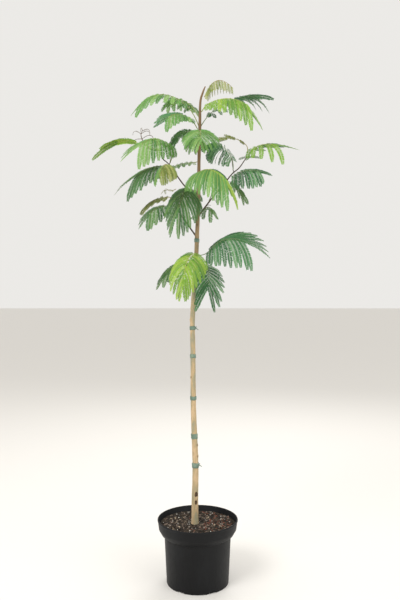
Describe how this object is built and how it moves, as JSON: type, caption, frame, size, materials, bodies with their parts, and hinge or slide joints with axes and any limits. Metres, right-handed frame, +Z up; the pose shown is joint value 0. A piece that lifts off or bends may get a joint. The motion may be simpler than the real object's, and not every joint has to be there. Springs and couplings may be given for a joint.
{
  "type": "potted silk tree",
  "caption": "Young silk tree with a slender stem, side boughs and doubly feathered fern-like leaves, standing in a round nursery pot of compost.",
  "frame": {"origin": "centre of the pot's flat underside", "axes": "+Z up along the stem, +X to the plant's right as seen from the front, -Y the front"},
  "size_m": [0.6118, 0.4525, 1.4908],
  "materials": {
    "bark": "matt young bark, tan with grey-green patches",
    "twig": "matt dark purple-brown",
    "leaf_mid": "matt mid green",
    "leaf_lime": "matt lime green",
    "leaf_dark": "matt dark green",
    "leaf_blue": "matt blue-green",
    "leaf_olive": "matt yellow-olive",
    "pot": "dusty moulded black plastic",
    "compost": "rough bark compost with pale grit",
    "tie": "soft green tape"
  },
  "bodies": {
    "root": {"bough_left": "twig", "bough_low_left": "twig", "bough_right": "twig", "compost": "compost", "leaf_back_left": "leaf_dark", "leaf_back_low": "leaf_dark", "leaf_back_right": "leaf_blue", "leaf_back_top": "leaf_mid", "leaf_back_upper": "leaf_mid", "leaf_bottom_front": "leaf_lime", "leaf_bottom_left": "leaf_dark", "leaf_bottom_right": "leaf_blue", "leaf_left_big": "leaf_mid", "leaf_left_far": "leaf_lime", "leaf_left_young": "leaf_olive", "leaf_low_front_left": "leaf_dark", "leaf_low_left": "leaf_dark", "leaf_low_left_pale": "leaf_olive", "leaf_low_right_big": "leaf_blue", "leaf_mid_front_right": "leaf_lime", "leaf_mid_left": "leaf_dark", "leaf_mid_left_front": "leaf_olive", "leaf_mid_left_star": "leaf_olive", "leaf_mid_right": "leaf_blue", "leaf_mid_right_back": "leaf_dark", "leaf_mid_thin_left": "leaf_mid", "leaf_right_edge_on": "leaf_olive", "leaf_right_far": "leaf_lime", "leaf_right_inner": "leaf_blue", "leaf_right_small": "leaf_dark", "leaf_stem_small_left": "leaf_dark", "leaf_stem_small_right": "leaf_dark", "leaf_top_left": "leaf_mid", "leaf_top_right": "leaf_lime", "leaf_top_right_back": "leaf_blue", "leaf_top_young": "leaf_olive", "leaf_upper_back_left": "leaf_dark", "leaf_upper_front": "leaf_mid", "leaf_upper_left": "leaf_mid", "pot": "pot", "tie_1": "tie", "tie_2": "tie", "tie_3": "tie", "tie_4": "tie", "tie_5": "tie", "tie_6": "tie", "trunk": "bark"}
  },
  "joints": []
}
